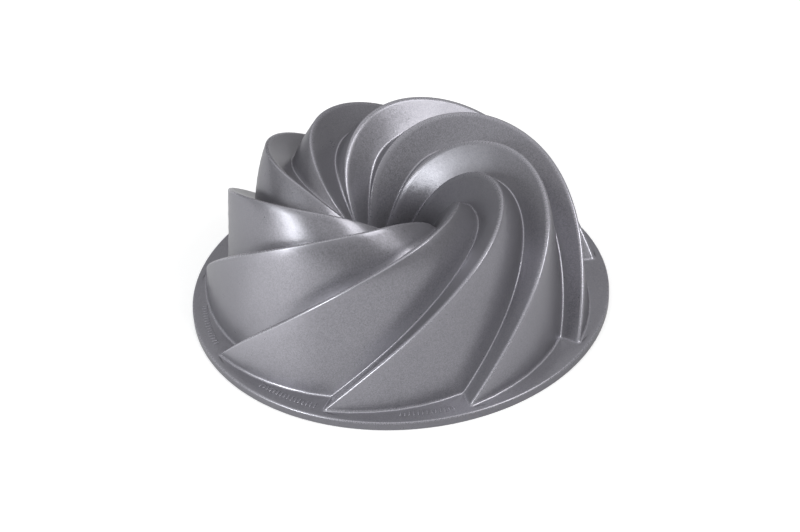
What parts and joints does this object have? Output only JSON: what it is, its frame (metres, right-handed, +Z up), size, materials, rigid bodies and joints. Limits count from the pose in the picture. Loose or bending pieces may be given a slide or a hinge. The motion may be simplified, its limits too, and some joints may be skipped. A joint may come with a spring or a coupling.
{
  "type": "bundt pan",
  "caption": "Round ring-cake pan of cast aluminium with swirling blades, an open centre tube and a flat flange, shown standing on its flange with the crown up.",
  "frame": {"origin": "centre of the flange, on its flat underside", "axes": "+Z up through the centre tube towards the crown; +X and +Y lie in the plane of the flange, and a blade's tip is 7 degrees anticlockwise from +X"},
  "size_m": [0.2638, 0.2638, 0.0963],
  "materials": {
    "casting": "as cast, satin",
    "outer_finish": "satin grey with fine metal flake",
    "nonstick": "satin dark grey nonstick"
  },
  "bodies": {
    "root": {"cast_body": "casting", "outer_coat": "outer_finish", "nonstick_lining": "nonstick"}
  },
  "joints": []
}
